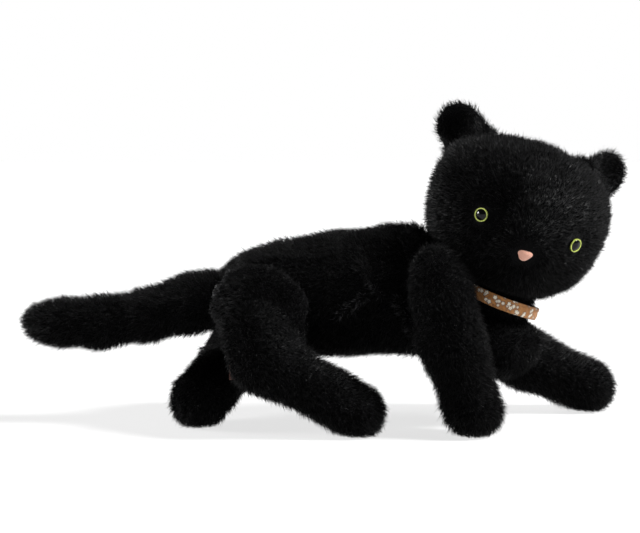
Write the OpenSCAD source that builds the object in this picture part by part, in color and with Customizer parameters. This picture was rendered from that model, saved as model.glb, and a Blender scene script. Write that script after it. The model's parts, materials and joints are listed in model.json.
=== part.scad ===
// Soft toy cat: stuffed pile-cloth pieces sewn together, standing on its four paws.
// +X runs from the tail to the chest, +Z is up and the cat's right side is at -Y.
// The origin is on the ground under the middle of the cat.

/* [Cloth] */
// Thickness of the pile cloth covers
cover_t = 3; // [2:0.5:4]
// Gap between a cover and the filling inside it
filling_gap = 0.2; // [0.1:0.1:0.5]
// How far a soft sole is flattened by the cat's weight
sole_press = 0.8; // [0.4:0.1:1.5]

/* [Torso] */
// Tail end of the torso, along X
rump_x = -79.6; // [-84:0.1:-76]
// Chest end of the torso, along X
chest_x = 142.4; // [138:0.1:148]
// Length of each rounded end of the torso
torso_cap = 34; // [30:1:36]
// Half the width of the torso at the shoulders
shoulder_half = 32; // [30:0.5:32]
// Radius of the pouch of pellets that weighs the belly down
pouch_r = 18; // [12:1:18]

/* [Neck and head] */
// Middle of the head
head_at = [128.4, 0, 140.5]; // [-200:0.1:200]
// Radius of the head
head_r = 56.5; // [54:0.5:57]
// Lean of the neck towards the chest, in degrees
neck_lean = 15; // [10:1:18]
// Radius of the neck under the collar
neck_r = 24; // [20:0.5:25]
// Radius of the round foot of the neck, which sits in the chest
neck_foot_r = 17; // [15:0.5:18]
// Turn of the face away from the cat's right side, in degrees
head_yaw = 5; // [0:1:20]
// Sideways lean of the head, in degrees
head_roll = 18; // [0:1:20]
// Upward tilt of the face, in degrees
head_pitch = 1; // [0:1:12]

/* [Face] */
// Radius of the muzzle
muzzle_r = 22; // [18:0.5:24]
// Distance of the muzzle's middle from the head's middle
muzzle_out = 40; // [38:0.5:42]
// Drop of the nose below the head's middle, in degrees
nose_drop = 22; // [18:1:28]
// Height of the nose pad
nose_size = 9.5; // [7:0.5:12]
// Sideways spread of each eye, in degrees
eye_spread = 34.2; // [30:0.2:40]
// Drop of the eyes below the head's middle, in degrees
eye_drop = 7; // [3:1:12]
// Diameter of an eye with its iris
eye_d = 9; // [8:0.5:12]

/* [Ears] */
// Tilt of each ear from the top of the head, in degrees
ear_spread = 52; // [48:1:58]
// How far the ears are set back round the head, in degrees
ear_set_back = 26; // [0:1:26]
// Radius of an ear's round rim
ear_r = 16.5; // [15:0.5:18]
// Height of the rim's middle over the ear's base
ear_rise = 8; // [6:0.5:10]
// Radius of the hollow that cups each ear forwards
ear_cup_r = 34; // [32:1:50]

/* [Collar] */
// Distance of the collar's middle below the head's middle
collar_down = 57.4; // [57.2:0.1:58.5]
// Tilt of the collar, in degrees
collar_tilt = 22; // [20:1:24]
// Inside radius of the collar
collar_r = 28.6; // [28:0.1:29]
// Width of the collar band
collar_w = 8.5; // [6:0.5:9]
// Thickness of the folded collar band
collar_t = 2.2; // [1.5:0.1:2.4]

/* [Front legs] */
// Middle of the right leg's round top
right_shoulder_at = [71.4, -48.4, 106]; // [-200:0.1:200]
// Middle of the left leg's round top
left_shoulder_at = [96.4, 48.5, 56]; // [-200:0.1:200]
// Radius of a front leg's top
front_top_r = 16; // [14:0.5:16]
// Radius of a front paw
front_paw_r = 18.5; // [17:0.5:19]
// Where the right front paw stands, along X and Y
right_front_stand = [95.4, -50]; // [-200:0.1:200]
// Where the left front paw stands, along X and Y
left_front_stand = [183.4, 50]; // [-200:0.1:200]

/* [Hind legs] */
// Where both hips turn, along X and Z
hip_at = [-39.6, 80]; // [-80:0.1:120]
// Flat back of each haunch, to either side of the middle
haunch_y = 35.5; // [35:0.5:36]
// Radius of the round haunch
haunch_r = 32; // [26:0.5:34]
// Thickness of the haunch at its middle
haunch_t = 14; // [12:0.5:15]
// Radius of a hind leg
hind_r = 17; // [15:0.5:17.5]
// Radius of the left hind paw
left_hind_paw_r = 19; // [17:0.5:19]

/* [Tail] */
// Middle of the tail's round root
tail_root_at = [-75.6, 0, 86]; // [-250:0.1:200]
// Radius of the tail at its root
tail_root_r = 17; // [15:0.5:17.5]
// Middle of the tail's bend
tail_bend_at = [-125.6, 0, 71]; // [-250:0.1:200]
// Radius of the tail at its bend
tail_bend_r = 15; // [14:0.5:16]
// Middle of the tail's round tip
tail_tip_at = [-190.1, 4, 65.5]; // [-250:0.1:200]
// Radius of the tail's tip
tail_tip_r = 12.5; // [10:0.5:13]

/* [Hidden] */
$fn = 64;

pile_black = "#1b1b1f";
filling_white = "#e9e6df";
thread_black = "#101013";
far = 400;
clear = 0.4;
fit = 0.06;
filling_inset = cover_t + filling_gap;
// A second bar starts this much thinner, so that two bars never share one round face
bar_step = 0.5;

// Neck
neck_axis = [sin(neck_lean), 0, cos(neck_lean)];
neck_top_down = 40;
neck_foot_down = 68;
neck_foot_at = head_at - neck_foot_down * neck_axis;
collar_at = head_at - collar_down * neck_axis;
neck_length = neck_foot_down - neck_top_down;
neck_shoulder = neck_foot_down - collar_down;
neck_thread_r = 0.8;

// Torso: [x, underside, back, half the width]; the back drops in front of the shoulders to clear the head
torso_line = [
    [rump_x, 52, 114, 29],
    [-45.6, 47, 118.5, 33],
    [-3.6, 46, 127, 34.5],
    [32.4, 47, 132, 34],
    [58.4, 48, 132, shoulder_half],
    [71.4, 48, 116, shoulder_half],
    [81.4, 46.5, 87, shoulder_half],
    [93.4, 43, 73, 30],
    [102.4, 41, 69, 29],
    [chest_x, 42, 66, 25]
];
torso_sides = 28;
torso_rings = 30;

// Legs
right_front_paw_at = concat(right_front_stand, front_paw_r - sole_press);
left_front_paw_at = concat(left_front_stand, front_paw_r - sole_press);
right_hind_path = [[-41.6, -53, 54], [20.4, -50, hind_r - sole_press]];
right_hind_radii = [hind_r + 2, hind_r];
left_hind_path = [[-45.6, 54, 68], [-63.6, 36, 38], [-83.6, -12, left_hind_paw_r - sole_press]];
left_hind_radii = [hind_r - 1, hind_r - 1, left_hind_paw_r];
haunch_sphere_r = (haunch_r * haunch_r + haunch_t * haunch_t) / (2 * haunch_t);

// Rings of sewing thread that hold the legs: [x, y, z] of each middle, and their lengths along Y
thread_ring_r = 6.5;
thread_wall = 1.4;
right_shoulder_ring_at = [72.4, -30.7, 92];
left_shoulder_ring_at = [left_shoulder_at.x, 29.9, left_shoulder_at.z];
hip_ring_y = 33;
right_shoulder_ring = 2.6;
left_shoulder_ring = 4.6;
hip_ring = 4.4;

// Pellet pouch and label
pouch_from = [-37.6, 0, 71];
pouch_to = [22.4, 0, 71];
label_size = [12, 0.8, 26.5];
label_at = [-63.6, -22.4, 33];

// Eyes
eye_r = eye_d / 2;
iris_wall = 0.8;
pupil_r = eye_r - iris_wall;
shank_r = 2.2;
shank_length = 10;
washer_r = 7;
washer_t = 1.4;
washer_drop = 0.6;

// Ears
ear_back_t = 2.4;
ear_lining_t = 1.2;
ear_roll_r = 2.4;
ear_roll_up = 3.2;

// Turns +Z to a direction
module aim(direction)
    rotate([0, acos(direction.z / norm(direction)), atan2(direction.y, direction.x)]) children();

// Solid of revolution of the right half of a flat shape
module spin()
    rotate_extrude() intersection() {
        children();
        translate([0, -far]) square([far, 2 * far]);
    }

// Two round ends with the straight cone that touches both
module bar(from, from_r, to, to_r) {
    run = norm(to - from);
    rise = (from_r - to_r) / run;
    reach = sqrt(1 - rise * rise);
    translate(from) aim(to - from) spin() {
        circle(r = from_r);
        translate([0, run]) circle(r = to_r);
        polygon([
            [0, 0],
            [from_r * reach, from_r * rise],
            [to_r * reach, run + to_r * rise],
            [0, run]
        ]);
    }
}

// Bars from point to point
module limb(path, radii, inset)
    for (i = [0 : len(path) - 2])
        bar(path[i], radii[i] - inset - i * bar_step, path[i + 1], radii[i + 1] - inset);

// Everything below a height, taken away from the children
module stand_on(height)
    difference() {
        children();
        translate([-far, -far, height - far]) cube([2 * far, 2 * far, far]);
    }

// ---- Torso ----

// A column of the torso's outline at a place along X
function torso_at(x, column) = lookup(x, [for (point = torso_line) [point[0], point[column]]]);

// How far a rounded end has closed in at a place along X, from 0 at the tip to 1
function cap(x, low_x, high_x) =
    let (depth = min(x - low_x, high_x - x, torso_cap))
    sqrt(1 - pow(1 - depth / torso_cap, 2));

function torso_ring(x, low_x, high_x, inset) =
    let (
        middle = (torso_at(x, 1) + torso_at(x, 2)) / 2,
        tall = (torso_at(x, 2) - torso_at(x, 1)) / 2 - inset,
        wide = torso_at(x, 3) - inset,
        close = max(0.02, cap(x, low_x, high_x))
    )
    [for (side = [0 : torso_sides - 1])
        let (turn = 360 * side / torso_sides)
        [x, wide * close * cos(turn), middle + tall * close * sin(turn)]];

// Closed surface through the torso's rings, closer together at the rounded ends
module torso_body(inset) {
    low_x = rump_x + inset;
    high_x = chest_x - inset;
    rings = [for (i = [0 : torso_rings])
        let (x = (low_x + high_x) / 2 - cos(180 * i / torso_rings) * (high_x - low_x) / 2)
        torso_ring(x, low_x, high_x, inset)];
    last = torso_rings * torso_sides;
    polyhedron(
        points = [for (ring = rings) each ring],
        faces = [
            [for (side = [0 : torso_sides - 1]) side],
            [for (side = [torso_sides - 1 : -1 : 0]) last + side],
            for (i = [0 : torso_rings - 1], side = [0 : torso_sides - 1])
                let (next = (side + 1) % torso_sides, here = i * torso_sides)
                [here + next, here + side, here + torso_sides + side, here + torso_sides + next]
        ]
    );
}

// Round sockets in which the neck and the tail turn
module sockets(inset) {
    translate(neck_foot_at) sphere(r = neck_foot_r + clear + inset);
    translate(tail_root_at) sphere(r = tail_root_r + 3 * clear + inset);
}

module pouch_form(inset) bar(pouch_from, pouch_r - inset, pouch_to, pouch_r - inset);

module torso_cover() color(pile_black)
    difference() {
        torso_body(0);
        torso_body(cover_t);
        sockets(0);
    }

module torso_filling() color(filling_white)
    difference() {
        torso_body(filling_inset);
        sockets(filling_gap);
        pouch_form(-filling_gap);
    }

module pellet_pouch() color("#b9a88a") pouch_form(0);

module label() color("#7a4a2e") translate(label_at) cube(label_size);

// ---- Neck ----

module neck_form(inset)
    translate(neck_foot_at) aim(neck_axis) spin() {
        circle(r = neck_foot_r - inset);
        polygon([
            [0, 0],
            [neck_foot_r - inset, 0],
            [neck_r - inset, neck_shoulder],
            [neck_r - inset, neck_length - inset],
            [0, neck_length - inset]
        ]);
    }

module neck_cover() color(pile_black)
    difference() {
        neck_form(0);
        neck_form(cover_t);
    }

module neck_filling() color(filling_white) neck_form(filling_inset);

module neck_thread() color(thread_black)
    translate(collar_at) aim(neck_axis)
        rotate_extrude() translate([neck_r + neck_thread_r + 0.1, 0]) circle(r = neck_thread_r);

// ---- Head ----

module in_head()
    translate(head_at) rotate([-head_pitch, 0, 0]) rotate([0, head_roll, 0]) rotate([0, 0, head_yaw])
        children();

// Puts +Z outwards at a place on the head, with the origin a distance from its middle
module on_head(across, up, out)
    in_head() rotate([0, 0, across]) rotate([90 - up, 0, 0]) translate([0, 0, out]) children();

module head_form(inset)
    difference() {
        union() {
            translate(head_at) sphere(r = head_r - inset);
            on_head(0, -nose_drop, muzzle_out) sphere(r = muzzle_r - inset);
        }
        translate(head_at - (head_r + 5) * neck_axis) aim(neck_axis)
            cylinder(r = neck_r + fit + inset, h = head_r + 5 - neck_top_down + clear + inset);
    }

module both_eyes() for (side = [-1, 1]) on_head(side * eye_spread, -eye_drop, head_r) children();

module head_cover() color(pile_black)
    difference() {
        head_form(0);
        head_form(cover_t);
        both_eyes() translate([0, 0, -10]) cylinder(r = shank_r + 0.1, h = 20);
    }

module head_filling() color(filling_white)
    difference() {
        head_form(filling_inset);
        both_eyes() translate([0, 0, -shank_length - 2]) cylinder(r = washer_r + 0.3, h = 20);
    }

// Dome, back plate and shank moulded as one piece
module eye(side) color("#050505")
    on_head(side * eye_spread, -eye_drop, head_r) {
        translate([0, 0, -shank_length]) cylinder(r = shank_r, h = shank_length + 1);
        translate([0, 0, 0.2]) cylinder(r = eye_r, h = 1);
        translate([0, 0, 1]) intersection() {
            cylinder(r = pupil_r, h = 4);
            translate([0, 0, -2.6]) sphere(r = pupil_r + 1.2);
        }
    }

module iris(side) color("#b8c832")
    on_head(side * eye_spread, -eye_drop, head_r)
        rotate_extrude() translate([pupil_r + fit, 1.2 + fit]) square([iris_wall - fit, 0.8]);

module eye_washer(side) color("#e8e8e8")
    on_head(side * eye_spread, -eye_drop, head_r - cover_t - washer_drop - washer_t)
        rotate_extrude() translate([shank_r + fit, 0]) square([washer_r - shank_r - fit, washer_t]);

// Three arcs that meet in a soft triangle, point down
module nose() color("#d99c8c")
    difference() {
        on_head(0, -nose_drop, muzzle_out + muzzle_r - 3)
            linear_extrude(4.4) intersection_for(corner = [0 : 2])
                rotate(corner * 120 - 90) translate([nose_size * 0.5, 0]) circle(r = nose_size);
        on_head(0, -nose_drop, muzzle_out) sphere(r = muzzle_r + 0.1);
    }

// ---- Ears ----

module ear_place(side)
    in_head() rotate([0, side * ear_spread, side * ear_set_back])
        translate([0, 0, head_r + ear_roll_up]) children();

module ear_cup(outer, inner)
    intersection() {
        difference() {
            translate([0, -ear_cup_r, ear_rise]) sphere(r = ear_cup_r + outer);
            translate([0, -ear_cup_r, ear_rise]) sphere(r = ear_cup_r + inner);
        }
        translate([0, 20, ear_rise]) rotate([90, 0, 0]) cylinder(r = ear_r, h = 40);
        translate([-far / 2, -far / 2, 0]) cube(far);
    }

module ear_back(side) color(pile_black)
    ear_place(side) {
        ear_cup(ear_back_t / 2, -ear_back_t / 2);
        rotate([0, 90, 0]) cylinder(r = ear_roll_r, h = 26, center = true);
    }

module ear_lining(side) color("#26262b")
    ear_place(side) difference() {
        ear_cup(-ear_back_t / 2 - 0.1, -ear_back_t / 2 - 0.1 - ear_lining_t);
        rotate([0, 90, 0]) cylinder(r = ear_roll_r + 0.1, h = 40, center = true);
    }

// ---- Collar ----

module collar_band() color("#a8682e")
    translate(collar_at) rotate([0, collar_tilt, 0])
        rotate_extrude() translate([collar_r, -collar_w / 2]) square([collar_t, collar_w]);

// ---- Legs ----

module front_leg_form(top, paw, inset)
    stand_on(inset) bar(top, front_top_r - inset, paw, front_paw_r - inset);

// Flat-backed round haunch beside the flank, with the bent leg below it
module hind_leg_form(side, path, radii, inset)
    stand_on(inset) {
        intersection() {
            translate([hip_at.x, side * (haunch_y + haunch_t - haunch_sphere_r), hip_at.y])
                sphere(r = haunch_sphere_r - inset);
            translate([-far, side * (haunch_y + inset + far) - far, -far]) cube(2 * far);
        }
        limb(path, radii, inset);
    }

module right_front_form(inset) front_leg_form(right_shoulder_at, right_front_paw_at, inset);
module left_front_form(inset) front_leg_form(left_shoulder_at, left_front_paw_at, inset);
module right_hind_form(inset) hind_leg_form(-1, right_hind_path, right_hind_radii, inset);
module left_hind_form(inset) hind_leg_form(1, left_hind_path, left_hind_radii, inset);

module right_front_leg_cover() color(pile_black)
    difference() {
        right_front_form(0);
        right_front_form(cover_t);
    }

module left_front_leg_cover() color(pile_black)
    difference() {
        left_front_form(0);
        left_front_form(cover_t);
    }

module right_hind_leg_cover() color(pile_black)
    difference() {
        right_hind_form(0);
        right_hind_form(cover_t);
    }

module left_hind_leg_cover() color(pile_black)
    difference() {
        left_hind_form(0);
        left_hind_form(cover_t);
    }

module right_front_leg_filling() color(filling_white) right_front_form(filling_inset);
module left_front_leg_filling() color(filling_white) left_front_form(filling_inset);
module right_hind_leg_filling() color(filling_white) right_hind_form(filling_inset);
module left_hind_leg_filling() color(filling_white) left_hind_form(filling_inset);

// Ring of sewing thread between a leg and the torso, round the line that the leg swings about
module thread_ring(middle, length) color(thread_black)
    translate(middle) rotate([90, 0, 0])
        rotate_extrude()
            translate([thread_ring_r - thread_wall, -length / 2]) square([thread_wall, length]);

module hip_thread(side) thread_ring([hip_at.x, side * hip_ring_y, hip_at.y], hip_ring);
module right_shoulder_thread() thread_ring(right_shoulder_ring_at, right_shoulder_ring);
module left_shoulder_thread() thread_ring(left_shoulder_ring_at, left_shoulder_ring);

// ---- Tail ----

module tail_form(inset)
    limb([tail_root_at, tail_bend_at, tail_tip_at], [tail_root_r, tail_bend_r, tail_tip_r], inset);

module tail_cover() color(pile_black)
    difference() {
        tail_form(0);
        tail_form(cover_t);
    }

module tail_filling() color(filling_white) tail_form(filling_inset);

torso_cover();
torso_filling();
pellet_pouch();
label();
neck_cover();
neck_filling();
neck_thread();
head_cover();
head_filling();
nose();
eye(-1);  // right_eye
eye(1);  // left_eye
iris(-1);  // right_iris
iris(1);  // left_iris
eye_washer(-1);  // right_eye_washer
eye_washer(1);  // left_eye_washer
ear_back(-1);  // right_ear_back
ear_back(1);  // left_ear_back
ear_lining(-1);  // right_ear_lining
ear_lining(1);  // left_ear_lining
collar_band();
right_front_leg_cover();
left_front_leg_cover();
right_hind_leg_cover();
left_hind_leg_cover();
right_front_leg_filling();
left_front_leg_filling();
right_hind_leg_filling();
left_hind_leg_filling();
right_shoulder_thread();
left_shoulder_thread();
hip_thread(-1);  // right_hip_thread
hip_thread(1);  // left_hip_thread
tail_cover();
tail_filling();
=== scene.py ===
"""Looks for a black soft toy cat: pile-cloth skins with real fibres, satin nose, printed collar."""
import json
import math

import bpy
import numpy as np
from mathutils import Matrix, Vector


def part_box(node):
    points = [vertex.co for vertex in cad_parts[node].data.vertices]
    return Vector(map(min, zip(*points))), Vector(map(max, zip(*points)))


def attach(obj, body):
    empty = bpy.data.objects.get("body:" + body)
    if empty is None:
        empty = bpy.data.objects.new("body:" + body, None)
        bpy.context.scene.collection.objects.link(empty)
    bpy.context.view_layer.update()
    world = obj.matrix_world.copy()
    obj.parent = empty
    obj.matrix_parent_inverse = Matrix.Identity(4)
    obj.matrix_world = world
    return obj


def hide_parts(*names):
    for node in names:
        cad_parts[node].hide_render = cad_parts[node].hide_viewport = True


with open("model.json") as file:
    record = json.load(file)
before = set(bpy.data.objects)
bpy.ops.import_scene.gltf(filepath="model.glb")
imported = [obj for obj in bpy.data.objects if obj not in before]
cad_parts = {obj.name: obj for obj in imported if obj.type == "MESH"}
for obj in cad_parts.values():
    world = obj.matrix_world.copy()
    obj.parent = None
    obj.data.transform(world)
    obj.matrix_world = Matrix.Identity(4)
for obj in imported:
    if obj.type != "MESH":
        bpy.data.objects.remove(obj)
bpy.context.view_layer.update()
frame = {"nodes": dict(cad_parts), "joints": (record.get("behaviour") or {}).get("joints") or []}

import openvdb
from mathutils import Vector

# Everything below is in millimetres in the row frame, and becomes metres when a mesh is made.
MM = 0.001

# Cloth and pile
SKIN_SINK = 1.6  # how far the woven backing lies inside the CAD cover
PILE_LENGTH = 6.4
GUARD_DENSITY = 0.75  # bent fibres for each square millimetre
UNDER_DENSITY = 1.1  # short straight fibres for each square millimetre
STRAY_DENSITY = 0.08  # long fibres that stand out of the pile, for each square millimetre
FIBRE_R = 0.17
ROOT_SINK = 0.7  # how far a fibre starts inside the backing
FLOOR_GAP = 0.3  # no fibre reaches lower than this over the ground
SHADE_SHARES = (0.5, 0.3, 0.2)  # black, soft black and worn black fibres
LEAST_SHARE = 0.12  # pile cut shorter than this share of its length is left out
MOST_TRIANGLES = 190_000  # for each pile piece

# Face
NOSE_DROP = 22.0  # degrees below the middle of the face
MUZZLE_R = 21.0
MUZZLE_OUT = 39.5  # from the head's middle to the muzzle's


# ---------- Places from the frame ----------

def unit(v):
    v = np.asarray(v, float)
    return v / np.maximum(np.sqrt((v * v).sum(-1, keepdims=True)), 1e-9)


def joint(name):
    return next(j for j in frame["joints"] if j["name"] == name)


def pivot(name):
    return np.array(joint(name)["pos_m"]) / MM


def axis(name):
    return unit(joint(name)["axis"])


def box(node):
    """Lowest and highest corner of a CAD node."""
    low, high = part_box(node)
    return np.array(low) / MM, np.array(high) / MM


def middle(node):
    low, high = box(node)
    return (low + high) / 2


def turned(v, about, degrees):
    """v turned about an axis through the origin."""
    a = math.radians(degrees)
    return v * math.cos(a) + np.cross(about, v) * math.sin(a) + about * np.dot(about, v) * (1 - math.cos(a))


HEAD = pivot("head_turn")
HEAD_R = box("head_cover")[1][2] - HEAD[2]
NECK_UP = axis("head_turn")
NECK_FOOT = pivot("neck_nod")
ACROSS = unit(pivot("left_ear_fold") - pivot("right_ear_fold"))
FACE = turned(unit(middle("nose") - HEAD), ACROSS, -NOSE_DROP)
HEAD_UP = np.cross(ACROSS, -FACE)
COLLAR = pivot("collar_turn")
COLLAR_UP = axis("collar_turn")
COLLAR_R = 29.5


def on_head(across, forward, up):
    """A point from millimetres across, out of the face and up, from the head's middle."""
    return HEAD + across * ACROSS + forward * FACE + up * HEAD_UP


# ---------- Solid shapes as distance fields ----------

def size(v):
    return np.sqrt((v * v).sum(-1))


def ball(at, r):
    return lambda p: size(p - at) - r


def oval(at, axes, radii):
    """Ellipsoid with three radii along three directions."""
    axes = np.array(axes, float)
    radii = np.array(radii, float)

    def field(p):
        q = (p - at) @ axes.T
        near = size(q / radii)
        return near * (near - 1) / np.maximum(size(q / radii ** 2), 1e-6)

    return field


def bar(a, b, r_a, r_b):
    """Round bar from a to b with a radius at each end."""
    a, b = np.array(a, float), np.array(b, float)

    def field(p):
        along = np.clip((p - a) @ (b - a) / np.dot(b - a, b - a), 0, 1)
        return size(p - a - along[..., None] * (b - a)) - (r_a + (r_b - r_a) * along)

    return field


def join(k, *fields):
    """Union whose corners are filled with soft curves about k wide."""
    def field(p):
        d = fields[0](p)
        for other in fields[1:]:
            e = other(p)
            h = np.clip(0.5 + 0.5 * (e - d) / k, 0, 1)
            d = e + (d - e) * h - k * h * (1 - h)
        return d

    return field


def overlap(k, *fields):
    """What all the fields share, with edges rounded about k wide."""
    joined = join(k, *[lambda p, f=f: -f(p) for f in fields])
    return lambda p: -joined(p)


def chain(points, radii, k=10):
    """Bars from point to point, joined softly."""
    return join(k, *[bar(a, b, r, s) for a, b, r, s in zip(points, points[1:], radii, radii[1:])])


def lumpy(solid, depth, width, phase=0.0):
    """Shallow swellings from uneven stuffing."""
    def field(p):
        q = p * (2 * math.pi / width)
        wave = (
            np.sin(q[..., 0] + 1.3 * np.sin(0.7 * q[..., 2] + phase))
            + np.sin(q[..., 1] * 1.1 + 1.1 * np.sin(0.6 * q[..., 0] + 2 + phase))
            + np.sin(q[..., 2] * 0.9 + 1.2 * np.sin(0.8 * q[..., 1] + 4 + phase))
        )
        return solid(p) - depth * wave / 3

    return field


def standing(solid, height):
    """Flat sole at a height over the ground."""
    return overlap(3, solid, lambda p: height - p[..., 2])


# ---------- Meshes ----------

def new_object(name, points, faces):
    """Smooth mesh object from millimetre points and faces that all have the same number of corners."""
    mesh = bpy.data.meshes.new(name)
    count, corners = faces.shape
    mesh.vertices.add(len(points))
    mesh.vertices.foreach_set("co", (np.asarray(points) * MM).astype(np.float32).ravel())
    mesh.loops.add(count * corners)
    mesh.loops.foreach_set("vertex_index", faces.astype(np.int32).ravel())
    mesh.polygons.add(count)
    mesh.polygons.foreach_set("loop_start", np.arange(0, count * corners, corners, dtype=np.int32))
    mesh.polygons.foreach_set("use_smooth", np.full(count, True))
    mesh.update(calc_edges=True)
    made = bpy.data.objects.new(name, mesh)
    bpy.context.scene.collection.objects.link(made)
    return made


def surface(field, low, high, step):
    """Points and quads of the surface where a field is zero."""
    counts = np.ceil((np.array(high) - low) / step).astype(int) + 1
    lines = [low[i] + step * np.arange(counts[i]) for i in range(3)]
    grid_points = np.stack(np.meshgrid(*lines, indexing="ij"), -1)
    grid = openvdb.FloatGrid(1000.0)
    grid.copyFromArray(field(grid_points).astype(np.float32))
    points, quads = grid.convertToQuads(0.0)
    return low + step * points, quads


def slope(field, p, step=0.6):
    """Outward direction of a field."""
    return unit(np.stack([field(p + move) - field(p - move) for move in np.eye(3) * step], -1))


def flow_along(way):
    """Pile that lies one way all over."""
    return lambda p: np.tile(way, (len(p), 1))


SKINS = {}  # what each skin's pile grows from: points, quads, field and body


def skin(name, body, field, around, replaced, material, step=2.0, margin=14):
    """Stuffed cloth skin of a field, inside a box round CAD nodes, standing for those nodes."""
    lows, highs = zip(*[box(n) for n in around])
    low = np.min(lows, 0) - margin
    high = np.max(highs, 0) + margin
    points, quads = surface(field, low, high, step)
    made = new_object(name, points, quads)
    made.data.materials.append(material)
    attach(made, body)
    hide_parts(*replaced)
    SKINS[name] = (points, quads, field, body)
    return made


# ---------- Pile ----------

def scatter(points, quads, density, rng):
    """Random points spread evenly over quads."""
    tris = np.concatenate([quads[:, [0, 1, 2]], quads[:, [0, 2, 3]]])
    a, b, c = points[tris[:, 0]], points[tris[:, 1]], points[tris[:, 2]]
    areas = size(np.cross(b - a, c - a)) / 2
    count = int(areas.sum() * density)
    picked = rng.choice(len(tris), count, p=areas / areas.sum())
    u, v = rng.random(count), rng.random(count)
    over = u + v > 1
    u[over], v[over] = 1 - u[over], 1 - v[over]
    a, b, c = a[picked], b[picked], c[picked]
    return a + u[:, None] * (b - a) + v[:, None] * (c - a)


def swirl(p, width, phase):
    """Smooth wandering vector field that lays the pile in tufts."""
    q = p * (2 * math.pi / width)
    x, y, z = q[:, 0], q[:, 1], q[:, 2]
    return np.stack([
        np.sin(y + 1.7 * np.sin(0.8 * z + phase)) + np.sin(1.9 * z + phase),
        np.sin(z + 1.5 * np.sin(0.9 * x + phase)) + np.sin(2.1 * x + 2 * phase),
        np.sin(x + 1.6 * np.sin(0.7 * y + phase)) + np.sin(1.7 * y + 3 * phase),
    ], -1) / 2


def fibres(roots, out, lay, lengths, thick, lean, bent, rng):
    """Closed three-sided fibres: a root triangle, a middle triangle if bent, and a tip."""
    count = len(roots)
    first_lean, last_lean = lean
    along = out * np.cos(first_lean)[:, None] + lay * np.sin(first_lean)[:, None]
    end = out * np.cos(last_lean)[:, None] + lay * np.sin(last_lean)[:, None]
    half = lengths[:, None] / 2
    root = roots - out * ROOT_SINK
    mid = root + along * half
    tip = mid + end * half
    side = unit(np.cross(along, rng.normal(size=(count, 3))))
    other = np.cross(along, side)
    rings = []
    for centre, r in ((root, thick), (mid, thick * 0.8)):
        for turn in range(3):
            angle = turn * 2 * math.pi / 3
            rings.append(centre + r[:, None] * (side * math.cos(angle) + other * math.sin(angle)))
    if bent:
        parts = rings + [tip]
        faces = [
            (0, 2, 1), (0, 1, 4), (0, 4, 3), (1, 2, 5), (1, 5, 4), (2, 0, 3), (2, 3, 5),
            (3, 4, 6), (4, 5, 6), (5, 3, 6),
        ]
    else:
        parts = rings[:3] + [tip]
        faces = [(0, 2, 1), (0, 1, 3), (1, 2, 3), (2, 0, 3)]
    points = np.stack(parts, 1)
    points[..., 2] = np.maximum(points[..., 2], FLOOR_GAP)
    return points, np.array(faces)


# Guard fibres, under-pile and strays: bent, density, share of the length, and lean in degrees
FIBRE_KINDS = (
    (True, GUARD_DENSITY, 1.0, 0),
    (False, UNDER_DENSITY, 0.78, 0),
    (True, STRAY_DENSITY, 1.2, -10),
)


def grow(
    name, flow, seed, length=PILE_LENGTH, lean=(22, 52), bare=None, painted_sheen=None, stand=None,
    density=1.0,
):
    """Covers a skin with pile that lies along a flow, leaning at its root and at its tip by degrees.

    At a point, bare gives the share of the length that is left, painted_sheen the share of fibres that take a
    pale colour painting a highlight, and stand how upright the pile is.
    """
    points, quads, field, body = SKINS[name]
    rng = np.random.default_rng(seed)
    part = 0
    for bent, amount, kind, lift in FIBRE_KINDS:
        roots = scatter(points, quads, amount * density, rng)
        share = np.ones(len(roots)) if bare is None else bare(roots)
        roots = roots[share > LEAST_SHARE]
        share = share[share > LEAST_SHARE]
        out = slope(field, roots)
        roots = roots - out * field(roots)[:, None]
        tufts = swirl(roots, 34, seed) * 0.40 + swirl(roots, 9, seed + 1) * 0.18
        lay = unit(flow(roots)) + tufts + rng.normal(size=roots.shape) * 0.22
        lay = unit(lay - (lay * out).sum(-1, keepdims=True) * out)
        spread = rng.normal(size=len(roots)) * 9 + swirl(roots, 21, seed + 2)[:, 0] * 12
        lying = 1 if stand is None else 1 - stand(roots)
        angles = [np.radians(np.clip((x + lift + spread) * lying, 2, 84)) for x in lean]
        lengths = length * share * kind * np.clip(rng.normal(1, 0.16, len(roots)), 0.5, 1.4)
        widths = FIBRE_R * (1.0 if bent else 1.15) * np.clip(rng.normal(1, 0.2, len(roots)), 0.5, 1.6)
        tones = rng.choice(len(SHADE_SHARES), len(roots), p=SHADE_SHARES)
        # Painted highlight: fibres picked here take the pale last colour, which paints a sheen on lit crests
        if painted_sheen is not None:
            tones = np.where(rng.random(len(roots)) < painted_sheen(roots), len(SHADE_SHARES), tones)
        shaft, faces = fibres(roots, out, lay, lengths, widths, angles, bent, rng)
        most = MOST_TRIANGLES // len(faces)
        for start in range(0, len(shaft), most):
            some = shaft[start:start + most]
            corners = some.shape[1]
            table = faces[None] + corners * np.arange(len(some))[:, None, None]
            part += 1
            made = new_object(f"{name}_pile_{part}", some.reshape(-1, 3), table.reshape(-1, 3))
            for material in SHADES:
                made.data.materials.append(material)
            tone = tones[start:start + most]
            made.data.polygons.foreach_set("material_index", np.repeat(tone, len(faces)).astype(np.int32))
            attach(made, body)


# ---------- Materials ----------

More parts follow.
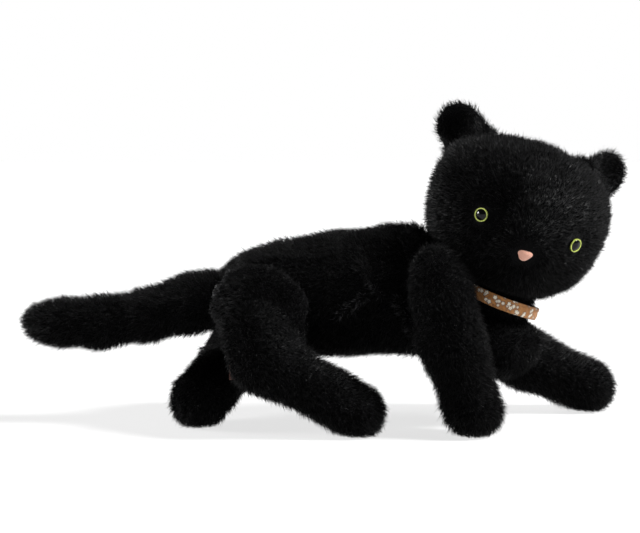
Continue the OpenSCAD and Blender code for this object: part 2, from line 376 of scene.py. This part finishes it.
class Nodes:
    """Short way to lay out a material's nodes."""

    def __init__(self, name):
        self.material = bpy.data.materials.new(name)
        self.material.use_nodes = True
        self.tree = self.material.node_tree
        self.shader = self.tree.nodes["Principled BSDF"]

    def add(self, kind, inputs=None, **settings):
        node = self.tree.nodes.new(kind)
        for key, value in settings.items():
            setattr(node, key, value)
        for key, value in (inputs or {}).items():
            if isinstance(value, bpy.types.NodeSocket):
                self.tree.links.new(value, node.inputs[key])
            else:
                node.inputs[key].default_value = value
        return node

    def set(self, **values):
        for key, value in values.items():
            socket = self.shader.inputs[key.replace("_", " ")]
            if isinstance(value, bpy.types.NodeSocket):
                self.tree.links.new(value, socket)
            else:
                socket.default_value = value

    def noise(self, scale, detail=3.0, vector=None, output="Fac"):
        inputs = {"Scale": scale, "Detail": detail}
        inputs["Vector"] = vector or self.add("ShaderNodeTexCoord").outputs["Object"]
        return self.add("ShaderNodeTexNoise", inputs).outputs[output]

    def ramp(self, value, *stops):
        node = self.add("ShaderNodeValToRGB", {"Fac": value})
        elements = node.color_ramp.elements
        while len(elements) < len(stops):
            elements.new(0.5)
        for element, (place, colour) in zip(elements, stops):
            element.position = place
            element.color = (*colour, 1)
        return node.outputs["Color"]

    def span(self, value, low, high):
        node = self.add("ShaderNodeMapRange", {"Value": value, "To Min": low, "To Max": high})
        return node.outputs["Result"]

    def bump(self, height, distance, strength=1.0, normal=None):
        inputs = {"Height": height, "Distance": distance, "Strength": strength}
        if normal is not None:
            inputs["Normal"] = normal
        return self.add("ShaderNodeBump", inputs).outputs["Normal"]

    def maths(self, operation, a, b=0.0):
        return self.add("ShaderNodeMath", {0: a, 1: b}, operation=operation).outputs[0]


def backing_material(name, dark, light):
    """Woven backing with cut fibre roots, seen between the fibres."""
    m = Nodes(name)
    patches = m.noise(60, 4)
    roots = m.noise(1400, 2)
    m.set(
        Base_Color=m.ramp(patches, (0.3, dark), (0.75, light)),
        Roughness=m.span(roots, 0.72, 0.98),
        Normal=m.bump(roots, 0.0009, 0.9),
        Sheen_Weight=0.02,
        Sheen_Roughness=0.5,
        Specular_IOR_Level=0.05,
    )
    return m.material


def fibre_material(name, tone, roughness, gloss=0.04):
    """One fibre's black; the tones and gloss of a piece come from how its fibres are mixed."""
    m = Nodes(name)
    m.set(
        Base_Color=(tone, tone, tone * 1.08, 1),
        Roughness=roughness,
        Specular_IOR_Level=gloss,
        Sheen_Weight=0.006,
        Sheen_Roughness=0.4,
    )
    return m.material


def thread_material(name, colour, pitch):
    """Twisted sewing thread."""
    m = Nodes(name)
    twist = m.noise(pitch, 1)
    m.set(
        Base_Color=m.ramp(twist, (0.3, [c * 0.6 for c in colour]), (0.7, colour)),
        Roughness=m.span(twist, 0.45, 0.75),
        Normal=m.bump(twist, 0.0004),
    )
    return m.material


def plastic_material(name, dark, light, low, high, scale=300, coat=0.0, gloss=0.5):
    """Moulded plastic with faint flow marks and rubbed gloss."""
    m = Nodes(name)
    marks = m.noise(scale, 3)
    m.set(
        Base_Color=m.ramp(marks, (0.35, dark), (0.7, light)),
        Roughness=m.span(marks, low, high),
        Normal=m.bump(marks, 0.00002, 0.4),
        Specular_IOR_Level=gloss,
        Coat_Weight=coat,
        Coat_Roughness=0.03,
    )
    return m.material


def satin_material(name):
    """Satin-stitched embroidery floss; the stitches run along the UV map's second axis."""
    m = Nodes(name)
    place = m.add("ShaderNodeUVMap", uv_map="stitch").outputs["UV"]
    stretch = m.add("ShaderNodeMapping", {"Vector": place, "Scale": (2.6, 0.25, 1.0)}).outputs["Vector"]
    floss = m.noise(3.0, 4, stretch)
    m.set(
        Base_Color=m.ramp(floss, (0.25, (0.52, 0.22, 0.15)), (0.8, (0.84, 0.48, 0.36))),
        Roughness=m.span(floss, 0.32, 0.55),
        Normal=m.bump(floss, 0.0003, 0.7),
        Sheen_Weight=0.3,
    )
    return m.material


def print_material(name):
    """Ochre cotton printed with small cream flowers outlined in brown, over a plain weave."""
    m = Nodes(name)
    place = m.add("ShaderNodeUVMap", uv_map="band").outputs["UV"]
    warp = m.noise(0.9, 2, place, "Color")
    wobble = m.add("ShaderNodeMixRGB", {"Fac": 0.06, "Color1": place, "Color2": warp}).outputs[0]
    cells = m.add("ShaderNodeTexVoronoi", {"Vector": wobble, "Scale": 0.33, "Randomness": 0.9})
    offset = m.add(
        "ShaderNodeVectorMath", {0: wobble, 1: cells.outputs["Position"]}, operation="SUBTRACT"
    ).outputs[0]
    parts = m.add("ShaderNodeSeparateXYZ", {0: offset}).outputs
    angle = m.maths("ARCTAN2", parts[1], parts[0])
    petals = m.maths("ABSOLUTE", m.maths("COSINE", m.maths("MULTIPLY", angle, 2.5)))
    reach = m.maths("MULTIPLY_ADD", petals, 0.24)
    reach.node.inputs[2].default_value = 0.28
    ratio = m.maths("DIVIDE", cells.outputs["Distance"], reach)
    ways = m.add("ShaderNodeSeparateXYZ", {0: place}).outputs
    weave = m.maths("MULTIPLY", *[m.maths("SINE", m.maths("MULTIPLY", ways[i], 18.0)) for i in (0, 1)])
    cloth = m.ramp(m.noise(0.5, 3, place), (0.3, (0.34, 0.13, 0.03)), (0.7, (0.56, 0.25, 0.07)))
    flower = m.ramp(
        ratio,
        (0.0, (0.50, 0.22, 0.05)),
        (0.26, (0.88, 0.80, 0.66)),
        (0.80, (0.92, 0.86, 0.74)),
        (0.93, (0.09, 0.035, 0.015)),
        (1.10, (0.09, 0.035, 0.015)),
    )
    inside = m.maths("LESS_THAN", ratio, 1.12)
    colour = m.add("ShaderNodeMixRGB", {"Fac": inside, "Color1": cloth, "Color2": flower}).outputs[0]
    m.set(
        Base_Color=colour,
        Roughness=m.span(weave, 0.68, 0.88),
        Normal=m.bump(weave, 0.00008, 0.8),
        Sheen_Weight=0.15,
    )
    return m.material


def ribbon_material(name):
    """Dark woven ribbon."""
    m = Nodes(name)
    place = m.add("ShaderNodeTexCoord").outputs["Object"]
    ribs = m.add(
        "ShaderNodeTexWave", {"Vector": place, "Scale": 900.0, "Distortion": 0.6}, bands_direction="Z"
    ).outputs["Fac"]
    m.set(
        Base_Color=m.ramp(m.noise(90, 3), (0.3, (0.07, 0.022, 0.015)), (0.7, (0.14, 0.05, 0.03))),
        Roughness=m.span(ribs, 0.35, 0.6),
        Normal=m.bump(ribs, 0.0001, 0.6),
        Sheen_Weight=0.2,
    )
    return m.material


BACKING = backing_material("pile_backing", (0.0008, 0.0008, 0.0009), (0.003, 0.003, 0.0034))
LINING = backing_material("ear_lining_backing", (0.001, 0.001, 0.0012), (0.004, 0.004, 0.0046))
SHADES = [
    fibre_material("pile_black", 0.0012, 0.4),
    fibre_material("pile_soft_black", 0.0022, 0.46),
    fibre_material("pile_worn_black", 0.004, 0.34, 0.14),
    # Painted highlight: pale, glossier fibres that paint the sheen of lit crests
    fibre_material("pile_painted_sheen", 0.045, 0.4, 0.5),
]


# ---------- Head ----------

def head_field():
    """Wide round head with a flat crown, full under the ears, and a soft muzzle."""
    axes = (ACROSS, FACE, HEAD_UP)
    skull = oval(on_head(0, 0, -3.5), axes, (HEAD_R + 0.6, HEAD_R - 0.4, HEAD_R - 5.0))
    crown = [oval(on_head(side * 25, -3, 11), axes, (32, 34, 32)) for side in (-1, 1)]
    chin = ball(on_head(0, 18, -23), 26)
    nose_way = turned(FACE, ACROSS, NOSE_DROP)
    muzzle = ball(HEAD + nose_way * MUZZLE_OUT, MUZZLE_R)
    return lumpy(join(9, skull, *crown, chin, muzzle), 0.6, 38)


EYES = [(middle(f"{side}_iris"), unit(middle(f"{side}_iris") - HEAD)) for side in ("right", "left")]
NOSE = middle("nose")


def near_collar(p, reach=11.0):
    """How close a point is to the collar band, as the share of the pile's length that is left."""
    q = p - COLLAR
    up = q @ COLLAR_UP
    round_it = size(q - up[..., None] * COLLAR_UP)
    ring = np.hypot(round_it - COLLAR_R, np.maximum(np.abs(up) - 4, 0))
    return np.clip(ring / reach, 0.25, 1)


def face_bare(p):
    """Shorter pile by the collar, round each eye and round the nose."""
    left = near_collar(p)
    for eye, out in EYES:
        q = p - eye
        away = size(q - (q @ out)[:, None] * out)
        near = size(q) < 16
        left = np.where(near, np.minimum(left, np.clip((away - 4.9) / 6.0, 0, 1)), left)
    away = size(p - NOSE)
    return np.minimum(left, np.clip((away - 4.2) / 9.0, 0, 1))


def right_cheek(p):
    """1 on the panel over the right cheek, 0 past the seam beside it."""
    q = p - HEAD
    past_seam = np.clip((-(q @ ACROSS) - 12 + 0.18 * (q @ HEAD_UP)) / 5, 0, 1)
    return past_seam * np.clip((40 - q @ HEAD_UP) / 10, 0, 1)


def face_flow(p):
    """Pile that leads away from the nose, turning back behind the seam over the right cheek."""
    seam = right_cheek(p)[:, None]
    return unit(p - (NOSE + 6 * HEAD_UP)) * (1 - seam) + (-FACE - 0.5 * HEAD_UP) * seam


skin("head_skin", "head", head_field(), ["head_cover"], ["head_cover", "head_filling"], BACKING)
grow(
    "head_skin", face_flow, 11, length=6.0, lean=(32, 60), bare=face_bare,
    stand=lambda p: 0.8 * right_cheek(p),
)


# ---------- Neck and torso ----------

RUMP_X, CHEST_X = (corner[0] for corner in box("torso_cover"))
# Distance from the rump, underside, back and half the width
TORSO_LINE = np.array([
    [0, 52, 114, 29], [34, 47, 118.5, 33], [76, 46, 127, 34.5], [112, 47, 132, 34], [138, 48, 132, 32],
    [151, 48, 116, 32], [161, 46.5, 90, 32], [173, 43, 77, 30.5], [182, 41, 74, 30], [222, 42, 68, 25],
]) + [RUMP_X, 0, 0, 0]
TORSO_CAP = 34  # how far from each end the sections start to close


def torso_field(p):
    """Sections along X as ellipses, closing in a rounded end at the rump and at the chest."""
    x = np.clip(p[..., 0], RUMP_X, CHEST_X)
    under, back, wide = [np.interp(x, TORSO_LINE[:, 0], TORSO_LINE[:, i]) for i in (1, 2, 3)]
    depth = np.clip(np.minimum(x - RUMP_X, CHEST_X - x), 0, TORSO_CAP)
    close = np.maximum(np.sqrt(1 - (1 - depth / TORSO_CAP) ** 2), 0.05)
    tall = (back - under) / 2 * close - SKIN_SINK
    wide = wide * close - SKIN_SINK
    up = p[..., 2] - (under + back) / 2
    reach = size(np.stack([p[..., 1] / np.maximum(wide, 0.5), up / np.maximum(tall, 0.5)], -1)) - 1
    past = np.maximum(np.abs(p[..., 0] - (RUMP_X + CHEST_X) / 2) - (CHEST_X - RUMP_X) / 2 + SKIN_SINK, 0)
    return reach * np.minimum(wide, tall).clip(0.5) * 0.9 + past


def chest_field():
    """Full chest below the collar."""
    down = -COLLAR_UP
    forward = unit(np.cross(np.array([0, 1.0, 0]), COLLAR_UP))
    at = COLLAR + 27.5 * down + 8 * forward
    return oval(at, (forward, (0, 1, 0), COLLAR_UP), (31, 29, 21))


def fold(places, radii, side):
    """Soft ridge of slack cloth through places given from the rump, on one side."""
    return chain([(RUMP_X + x, side * y, z) for x, y, z in places], radii, 4)


FLANK_FOLDS = [
    fold(places, radii, side)
    for side in (-1, 1)
    for places, radii in (
        ([(24, 24, 103), (13, 26, 90), (8, 20, 74)], (2, 2.6, 2.2)),
        ([(98, 32, 109), (110, 33.5, 90)], (1.6, 2)),
        ([(122, 33.5, 86), (131, 32.5, 72), (140, 28.5, 57)], (2, 2.4, 2)),
        ([(100, 34, 89), (84, 34, 77)], (2, 1.6)),
    )
]
full_torso = lumpy(join(4, join(10, torso_field, chest_field()), *FLANK_FOLDS), 1.3, 46, 1.0)


def painted_sheen_on_folds(folds, most):
    """Share of fibres along the crests of folds that take the pale colour painting a highlight."""
    return lambda p: np.clip((0.8 - np.min([f(p) for f in folds], 0)) / 1.6, 0, most)


def torso_flow(p):
    """Pile that lies backwards and down the flanks."""
    return np.stack([-np.ones(len(p)), np.sign(p[:, 1]) * 0.1, np.full(len(p), -0.45)], -1)


skin(
    "torso_skin", "torso", full_torso, ["torso_cover"],
    ["torso_cover", "torso_filling", "pellet_pouch"], BACKING, step=2.2,
)
# Pale fibres along the flank folds paint a highlight on their crests
grow("torso_skin", torso_flow, 21, bare=near_collar, painted_sheen=painted_sheen_on_folds(FLANK_FOLDS, 0.3))

neck_path = [NECK_FOOT + NECK_UP * up for up in (2, 9, 34)]
skin(
    "neck_skin", "neck", chain(neck_path, (18, 22.3, 22.3)),
    ["neck_cover"], ["neck_cover", "neck_filling"], BACKING,
)
grow("neck_skin", flow_along(-NECK_UP), 31, length=4.5, density=0.7)


# ---------- Legs and tail ----------

PAW_R = 18.5
LEG_TOP_R = 16.0
HAUNCH_R = 33.0
HAUNCH_OUT = 6.8  # how far its dome stands out of the flank
FLANK_Y = 35.2


def front_leg(side, seed):
    """Stuffed sausage sewn on at its round top, with a round paw."""
    name = f"{side}_front_leg"
    low, high = box(f"{name}_cover")
    inner, outer = (high[1], low[1]) if side == "right" else (low[1], high[1])
    sign = math.copysign(1, outer - inner)
    top = np.array([low[0] + LEG_TOP_R, inner + sign * LEG_TOP_R, high[2] - LEG_TOP_R])
    paw = np.array([high[0] - PAW_R, outer - sign * PAW_R, PAW_R - 1.0])
    along = unit(paw - top)
    bow = (top + paw) / 2 + np.array([-2.5 if side == "right" else 0, 0, 0])
    path = [top - along * 4, top + along * 12, bow, paw]
    radii = [LEG_TOP_R - 5, LEG_TOP_R - 0.8, LEG_TOP_R + 0.2, PAW_R - SKIN_SINK]
    field = lumpy(standing(chain(path, radii, 14), 0.9), 0.6, 30, seed)
    skin(f"{name}_skin", name, field, [f"{name}_cover"], [f"{name}_cover", f"{name}_filling"], BACKING)
    grow(f"{name}_skin", flow_along(along), seed, bare=near_collar)


def hind_leg(side, offsets, radii, seed):
    """Round haunch against the flank with a bent leg below it. Offsets are from the hip."""
    name = f"{side}_hind_leg"
    hip = pivot(f"{side}_hip_swing")
    hip[1] = 0
    sign = -1 if side == "right" else 1
    path = [hip + np.array(o, float) for o in offsets]
    leg = chain(path, [r - SKIN_SINK for r in radii], 12)
    flat_y = sign * FLANK_Y
    dome_r = (HAUNCH_R ** 2 + HAUNCH_OUT ** 2) / (2 * HAUNCH_OUT)
    haunch = ball(hip + np.array([0, flat_y + sign * (HAUNCH_OUT - dome_r), 0]), dome_r)
    haunch = overlap(3, haunch, lambda p: sign * (flat_y - p[..., 1]))

    def gather(turns, radii, wide):
        """A ridge of gathered cloth on the haunch, by degrees from the front and radii from the hip."""
        places = []
        for turn, r in zip(turns, radii):
            out = HAUNCH_OUT - dome_r + math.sqrt(dome_r ** 2 - r ** 2)
            a = math.radians(turn)
            places.append(hip + np.array([r * math.cos(a), flat_y + sign * (out - 2), r * math.sin(a)]))
        return chain(places, wide, 3)

    gathers = [
        gather((112, 135, 158, 180, 200), (30, 31, 31, 31, 30), (1.6, 2.6, 3, 3, 2)),
        gather((125, 145, 168, 195), (21, 20, 21, 26), (1.6, 2.4, 2.6, 2)),
    ]
    field = lumpy(standing(join(4, join(20, haunch, leg), *gathers), 0.9), 0.7, 32, seed)
    skin(f"{name}_skin", name, field, [f"{name}_cover"], [f"{name}_cover", f"{name}_filling"], BACKING)
    heel = unit(path[-1] - path[0])

    def on_haunch(p):
        return (np.abs(p[:, 1]) < 48.5) & ((p - hip)[:, 2] > -HAUNCH_R)

    def rim_bare(p):
        """Shorter pile towards the haunch's rim, so that it runs into the flank."""
        q = p - hip
        return np.where(on_haunch(p), np.clip((HAUNCH_R + 4 - np.hypot(q[:, 0], q[:, 2])) / 12, 0.45, 1), 1)

    def leg_flow(p):
        """Pile that follows the flank on the haunch and the leg below it."""
        return np.where(on_haunch(p)[:, None], torso_flow(p), heel)

    # Pale fibres along the gathers paint a highlight on their crests
    grow(f"{name}_skin", leg_flow, seed, bare=rim_bare, painted_sheen=painted_sheen_on_folds(gathers, 0.8))


front_leg("right", 41)
front_leg("left", 42)
hind_leg("right", [(-8, -35, 8), (-5, -45, -14), (0, -52.5, -30), (60, -50, -63.8)], (9, 15.5, 18.8, 17), 43)
hind_leg("left", [(-2, 40, 4), (-6, 52, -14), (-24, 36, -42), (-44, -12, -61.8)], (12, 16, 16.5, 19), 44)

TAIL_RADII = (16.8, 14.6, 12.4, 12.4, 10.9, 9.6)
tail_root = pivot("tail_lift")
tail_low = box("tail_cover")[0]
tail_tip = np.array([tail_low[0] + 12.5, 4, tail_low[2] + 12.5])
TAIL_STEPS = ((0, 0, -2), (-15, 0, -5.2), (-43, 0, -12.8), (-75, 1, -18), (-101, 3, -18.5))
tail_path = [tail_root + np.array(step, float) for step in TAIL_STEPS] + [tail_tip + np.array([-1.5, 0, 2.0])]
skin(
    "tail_skin", "tail", lumpy(chain(tail_path, TAIL_RADII, 14), 0.4, 34, 3.0),
    ["tail_cover"], ["tail_cover", "tail_filling"], BACKING,
)
grow("tail_skin", flow_along(unit(tail_tip - tail_root)), 51)


# ---------- Ears ----------

EAR_R = 14.8
EAR_RISE = 13.0  # from the fold to the middle of the round rim
EAR_CUP_R = 27.0
EAR_FLARE = 0.14  # how much each side widens for each millimetre down


def ear(side, seed):
    """Cupped round ear: pile cloth behind, short pile in front."""
    at = pivot(f"{side}_ear_fold")
    x = axis(f"{side}_ear_fold")
    z = unit(at - HEAD)
    z = unit(z - np.dot(z, x) * x)
    y = np.cross(z, x)
    cup = at - EAR_CUP_R * y + EAR_RISE * z

    def layer(middle_r, half, rim_r):
        """Part of a round shell, cut to the ear's outline."""
        def sheet_of(p):
            return np.abs(size(p - cup) - middle_r) - half

        def rim(p):
            q = p - at
            below = np.maximum(EAR_RISE - q @ z, 0)
            return np.hypot(q @ x, np.maximum(q @ z - EAR_RISE, 0)) - rim_r - EAR_FLARE * below

        def base(p):
            return -4 - (p - at) @ z

        return overlap(1.2, sheet_of, rim, base)

    root = bar(at - 13 * x - 3.5 * z, at + 13 * x - 3.5 * z, 4.5, 4.5)
    back = join(5, layer(EAR_CUP_R, 1.3, EAR_R), root)
    lining = layer(EAR_CUP_R - 2.0, 0.8, EAR_R - 1.5)
    body = f"{side}_ear"
    skin(
        f"{body}_back_skin", body, back, [f"{body}_back"], [f"{body}_back"], BACKING,
        step=1.0, margin=6,
    )
    skin(
        f"{body}_lining_skin", body, lining, [f"{body}_back"], [f"{body}_lining"], LINING,
        step=1.0, margin=6,
    )

    def behind(p):
        rim = np.hypot((p - at) @ x, np.maximum((p - at) @ z - EAR_RISE, 0)) > EAR_R - 2.5
        return np.where((size(p - cup) > EAR_CUP_R - 0.6) | rim, 1.0, 0.0)

    def inside(p):
        return np.where(size(p - cup) < EAR_CUP_R - 1.8, 1.0, 0.0)

    grow(f"{body}_back_skin", flow_along(z), seed, length=5.5, lean=(25, 55), bare=behind)
    grow(
        f"{body}_lining_skin", flow_along(z), seed + 1, length=4.2, lean=(20, 50), bare=inside,
    )


ear("right", 61)
ear("left", 63)


# ---------- Nose ----------

def nose():
    """Crowned pad of satin stitches in a soft triangle, point down."""
    out = unit(NOSE - HEAD)
    up = unit(np.cross(ACROSS, -out))
    seat = HEAD + out * (MUZZLE_OUT + MUZZLE_R + 0.2)
    rings, spokes, width, height = 14, 72, 9.6, 1.9
    turn = np.arange(spokes) * 2 * math.pi / spokes
    outline = width * (0.5 + 0.07 * np.cos(3 * (turn + math.pi / 2)))
    points, uv = [], []
    for i in range(rings + 1):
        share = i / rings
        for angle, reach in zip(turn, outline):
            a = reach * share * math.cos(angle) * 1.12
            b = reach * share * math.sin(angle) * 0.86
            rise = height * math.sqrt(max(1 - share ** 2.4, 0)) - 0.5
            rise += 0.10 * math.cos(a * 2 * math.pi / 0.62) * (1 - share ** 4)
            drop = (a * a + b * b) / (2 * MUZZLE_R)
            points.append(seat + a * ACROSS + b * up + (rise - drop) * out)
            uv.append((a, b))
    faces = []
    for i in range(rings):
        for j in range(spokes):
            k = (j + 1) % spokes
            faces.append((i * spokes + j, (i + 1) * spokes + j, (i + 1) * spokes + k, i * spokes + k))
    faces = np.array(faces)
    made = new_object("nose_pad", np.array(points), faces)
    layer = made.data.uv_layers.new(name="stitch")
    layer.data.foreach_set("uv", np.array(uv, np.float32)[faces.ravel()].ravel())
    made.data.materials.append(satin_material("nose_satin"))
    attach(made, "head")
    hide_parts("nose")


nose()


# ---------- Collar ----------

def collar():
    """Folded cotton band with soft edges, a hem line near each edge and slight waves."""
    mid_r, half_w, half_t = COLLAR_R + 0.2, 4.25, 0.75
    side = unit(np.cross(COLLAR_UP, np.array([0, 1.0, 0])))
    front = np.cross(COLLAR_UP, side)
    profile = []
    for i in range(28):
        a = i * 2 * math.pi / 28
        c, s = math.cos(a), math.sin(a)
        profile.append((
            math.copysign(abs(c) ** 0.35, c) * half_w,
            math.copysign(abs(s) ** 0.8, s) * half_t,
        ))
    turns = 320
    points, uv = [], []
    for i in range(turns):
        a = i * 2 * math.pi / turns
        wave = 0.35 * math.sin(5 * a + 0.4) + 0.2 * math.sin(11 * a)
        ripple = 0.12 * math.sin(37 * a) + 0.08 * math.sin(61 * a + 1)
        for h, t in profile:
            hem = -0.18 if 3.1 < abs(h) < 3.5 else 0.0
            r = mid_r + wave + ripple + t + (hem if t > 0 else 0) - 0.012 * h * h
            up = h + 0.3 * math.sin(3 * a)
            points.append(COLLAR + r * (math.cos(a) * side + math.sin(a) * front) + up * COLLAR_UP)
            uv.append((a * mid_r, h))
    n = len(profile)
    faces, uvs = [], []
    for i in range(turns):
        for j in range(n):
            corners = [(i, j), ((i + 1) % turns, j), ((i + 1) % turns, (j + 1) % n), (i, (j + 1) % n)]
            faces.append([a * n + b for a, b in corners])
            for a, b in corners:
                u = uv[a * n + b][0] + (2 * math.pi * mid_r if a == 0 and i == turns - 1 else 0)
                uvs.append((u, uv[a * n + b][1]))
    made = new_object("collar_cloth", np.array(points), np.array(faces))
    layer = made.data.uv_layers.new(name="band")
    layer.data.foreach_set("uv", np.array(uvs, np.float32).ravel())
    made.data.materials.append(print_material("collar_print"))
    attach(made, "collar")
    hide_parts("collar_band")


collar()


# ---------- Label ----------

def label():
    """Ribbon folded double, sewn in under the rump."""
    low, high = box("label")
    width, length = high[0] - low[0], high[2] - low[2]
    thick, gap = 0.28, 0.5
    path = []
    steps = 16
    for i in range(steps + 1):
        path.append((-gap, length * (1 - i / steps)))
    for i in range(1, 8):
        a = math.pi * i / 8
        path.append((-gap * math.cos(a), -gap * math.sin(a)))
    for i in range(steps + 1):
        path.append((gap, length * i / steps))
    path = np.array(path)
    step = unit(np.gradient(path, axis=0))
    normal = np.stack([-step[:, 1], step[:, 0]], -1)
    across = 12
    points = []
    y_mid = (low[1] + high[1]) / 2
    for side in (-0.5, 0.5):
        for (y, z), (ny, nz) in zip(path, normal):
            for i in range(across + 1):
                x = low[0] + width * i / across
                bow = 0.7 * math.sin(math.pi * z / length * 1.3) + 0.35 * math.cos(math.pi * i / across)
                points.append((x, y_mid + y + side * thick * ny + bow, low[2] + z + side * thick * nz))
    rows, cols = len(path), across + 1
    faces = []

    def at(layer, i, j):
        return layer * rows * cols + i * cols + j

    for i in range(rows - 1):
        for j in range(cols - 1):
            faces.append((at(1, i, j), at(1, i, j + 1), at(1, i + 1, j + 1), at(1, i + 1, j)))
            faces.append((at(0, i, j), at(0, i + 1, j), at(0, i + 1, j + 1), at(0, i, j + 1)))
        for j, flip in ((0, False), (cols - 1, True)):
            quad = (at(0, i, j), at(1, i, j), at(1, i + 1, j), at(0, i + 1, j))
            faces.append(quad[::-1] if flip else quad)
    for j in range(cols - 1):
        faces.append((at(0, 0, j), at(0, 0, j + 1), at(1, 0, j + 1), at(1, 0, j)))
        last = rows - 1
        faces.append((at(0, last, j), at(1, last, j), at(1, last, j + 1), at(0, last, j + 1)))
    made = new_object("label_ribbon", np.array(points), np.array(faces))
    made.data.materials.append(ribbon_material("label_ribbon"))
    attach(made, "torso")
    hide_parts("label")


label()


# ---------- CAD nodes that stay ----------

def finish_node(name, material):
    """Gives a CAD node its material and slot."""
    node = frame["nodes"][name]
    node.data.materials.clear()
    node.data.materials.append(material)


eye_plastic = plastic_material(
    "eye_black", (0.001, 0.001, 0.001), (0.004, 0.004, 0.005), 0.02, 0.05, gloss=0.22
)
iris_plastic = plastic_material(
    "iris_lime", (0.22, 0.27, 0.03), (0.42, 0.48, 0.10), 0.12, 0.25, 900, coat=0.4
)
washer_plastic = plastic_material("washer_white", (0.7, 0.7, 0.68), (0.85, 0.85, 0.84), 0.4, 0.6)
thread = thread_material("black_thread", (0.012, 0.012, 0.014), 1800)
for side in ("right", "left"):
    finish_node(f"{side}_eye", eye_plastic)
    finish_node(f"{side}_iris", iris_plastic)
    finish_node(f"{side}_eye_washer", washer_plastic)
    finish_node(f"{side}_shoulder_thread", thread)
    finish_node(f"{side}_hip_thread", thread)
finish_node("neck_thread", thread)


# ---------- Studio ----------

CAMERA_DISTANCE = 1190.0
CAMERA_UP = 5.0  # degrees above the level
SUNS = (("key", (1000, -200, 1000), 10.0, 15), ("rim", (-1000, 200, 500), 5.0, 20))
AIM = np.array([HEAD[0] - 132.0, 0.0, 105.7])


def studio_world():
    """White all round at the height of the eye, and dim overhead, so that the pile stays deep black."""
    world = bpy.data.worlds.new("studio")
    bpy.context.scene.world = world
    world.use_nodes = True
    tree = world.node_tree
    place = tree.nodes.new("ShaderNodeTexCoord").outputs["Generated"]
    parts = tree.nodes.new("ShaderNodeSeparateXYZ")
    tree.links.new(place, parts.inputs[0])
    fade = tree.nodes.new("ShaderNodeMapRange")
    fade.interpolation_type = "SMOOTHSTEP"
    for key, value in {"From Min": 0.08, "From Max": 0.24, "To Min": 1.0, "To Max": 0.06}.items():
        fade.inputs[key].default_value = value
    tree.links.new(parts.outputs["Z"], fade.inputs["Value"])
    background = tree.nodes["Background"]
    background.inputs["Color"].default_value = (1, 1, 1, 1)
    tree.links.new(fade.outputs["Result"], background.inputs["Strength"])


def aim_at(thing, at, target):
    thing.rotation_euler = Vector(target - at).to_track_quat("-Z", "Y").to_euler()


def studio():
    """Pale floor, two soft suns, and the camera at the photograph's viewing angle."""
    floor_points = [(-6000, -6000, 0), (6000, -6000, 0), (6000, 6000, 0), (-6000, 6000, 0)]
    floor = new_object("floor", np.array(floor_points, float), np.array([[0, 1, 2, 3]]))
    pale = Nodes("pale_floor")
    pale.set(
        Base_Color=(0.16, 0.16, 0.16, 1), Roughness=0.9, Specular_IOR_Level=0.1,
        Emission_Color=(1, 1, 1, 1), Emission_Strength=0.74,
    )
    floor.data.materials.append(pale.material)
    studio_world()
    for name, at, power, angle in SUNS:
        light = bpy.data.lights.new(name, "SUN")
        light.energy = power
        light.angle = math.radians(angle)
        lamp = bpy.data.objects.new(name, light)
        lamp.location = [c * MM for c in at]
        aim_at(lamp, np.array(at, float), AIM)
        bpy.context.scene.collection.objects.link(lamp)
    above = math.radians(CAMERA_UP)
    eye = AIM + CAMERA_DISTANCE * np.array([0, -math.cos(above), math.sin(above)])
    lens = bpy.data.cameras.new("camera")
    lens.lens = 100
    lens.sensor_width = 36
    lens.clip_end = 50
    camera = bpy.data.objects.new("camera", lens)
    camera.location = [c * MM for c in eye]
    aim_at(camera, eye, AIM)
    bpy.context.scene.collection.objects.link(camera)
    bpy.context.scene.camera = camera
    bpy.context.scene.view_settings.view_transform = "Standard"


studio()
